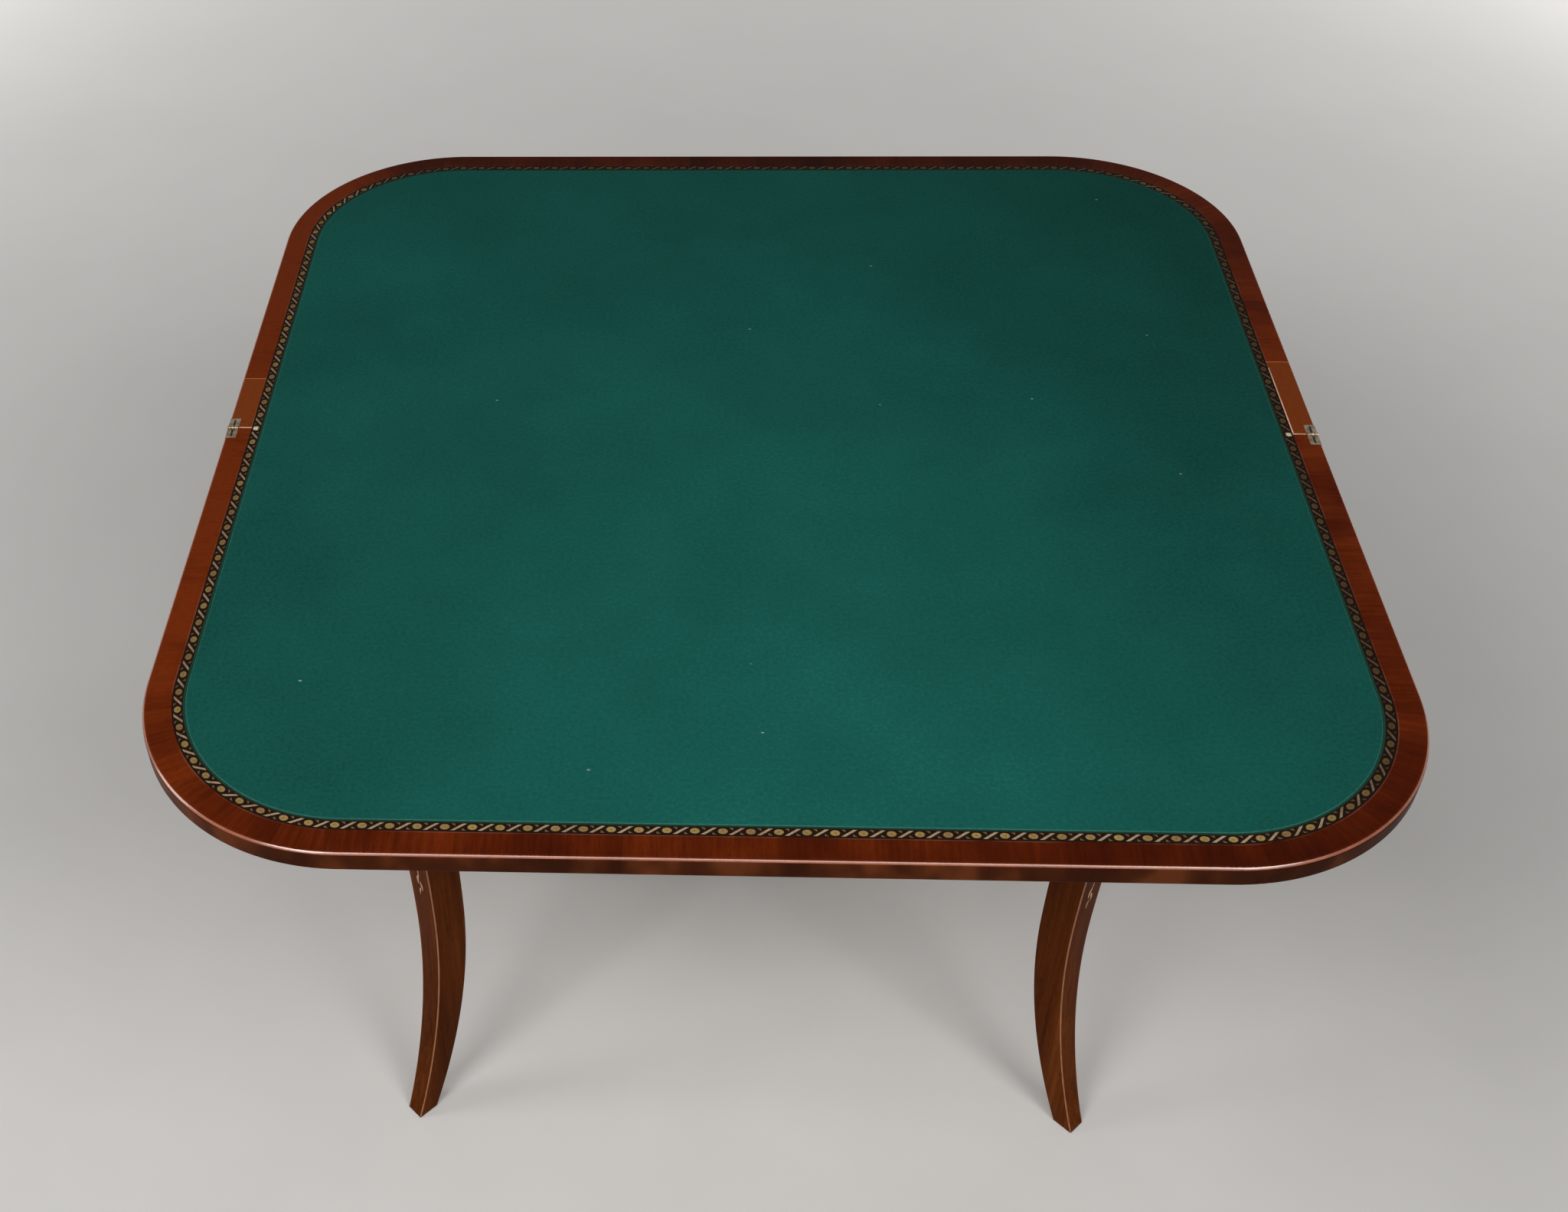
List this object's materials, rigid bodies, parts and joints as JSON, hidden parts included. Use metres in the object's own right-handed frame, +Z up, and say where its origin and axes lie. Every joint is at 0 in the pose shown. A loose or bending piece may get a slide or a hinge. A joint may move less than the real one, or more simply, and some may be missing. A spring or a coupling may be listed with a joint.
{
  "type": "console game table",
  "caption": "Fold-over game table: a baize-lined folding top with rounded corners slides over a card well on a railed frame with sabre legs set on the diagonal.",
  "frame": {"origin": "on the floor, under the middle of the fold line", "axes": "+X along the fold line to the right seen from the front, +Y to the rear, +Z up"},
  "size_m": [0.882, 0.9, 0.7469],
  "materials": {
    "crossbanded_mahogany": "polished",
    "veneered_panel": "polished",
    "border_band": "polished inlay",
    "baize": "matt wool baize",
    "leg_mahogany": "polished",
    "rail_mahogany": "polished",
    "plain_beech": "waxed",
    "well_plywood": "waxed",
    "slide_felt": "matt felt",
    "brass": "aged brass",
    "steel": "zinc plated"
  },
  "bodies": {
    "base": {"leg_front_left": "leg_mahogany", "leg_front_right": "leg_mahogany", "leg_rear_left": "leg_mahogany", "leg_rear_right": "leg_mahogany", "rail_front": "rail_mahogany", "rail_rear": "rail_mahogany", "rail_left": "rail_mahogany", "rail_right": "rail_mahogany", "corner_block_front_left": "plain_beech", "corner_block_front_right": "plain_beech", "corner_block_rear_left": "plain_beech", "corner_block_rear_right": "plain_beech", "corner_bolts": "steel", "corner_washers": "steel", "corner_nuts": "steel", "guide_left": "plain_beech", "guide_right": "plain_beech", "ledger_front": "plain_beech", "ledger_rear": "plain_beech", "well_floor": "well_plywood", "floor_screws": "steel", "slide_felt_front": "slide_felt", "slide_felt_rear": "slide_felt"},
    "lower_leaf": {"lower_panel": "veneered_panel", "lower_baize": "baize", "lower_band": "border_band", "lower_lipping_front": "crossbanded_mahogany", "lower_lipping_left": "crossbanded_mahogany", "lower_lipping_right": "crossbanded_mahogany", "lower_lipping_corner_left": "crossbanded_mahogany", "lower_lipping_corner_right": "crossbanded_mahogany", "slide_shoe_left": "plain_beech", "slide_shoe_right": "plain_beech", "shoe_screws": "steel", "hinge_plate_lower_left": "brass", "hinge_plate_lower_right": "brass", "hinge_pin_left": "brass", "hinge_pin_right": "brass", "hinge_screws_lower": "brass"},
    "flap": {"flap_panel": "veneered_panel", "flap_baize": "baize", "flap_band": "border_band", "flap_lipping_rear": "crossbanded_mahogany", "flap_lipping_left": "crossbanded_mahogany", "flap_lipping_right": "crossbanded_mahogany", "flap_lipping_corner_left": "crossbanded_mahogany", "flap_lipping_corner_right": "crossbanded_mahogany", "flap_slip_left": "crossbanded_mahogany", "flap_slip_right": "crossbanded_mahogany", "hinge_plate_flap_left": "brass", "hinge_plate_flap_right": "brass", "hinge_screws_flap": "brass"}
  },
  "joints": [
    {"name": "top_slide", "type": "slide", "parent": "base", "child": "lower_leaf", "axis": [0, -1, 0], "range_m": [-0.225, 0]},
    {"name": "flap_fold", "type": "hinge", "parent": "lower_leaf", "child": "flap", "pos_m": [0, 0, 0.7453], "axis": [1, 0, 0], "range_deg": [0, 180]}
  ]
}
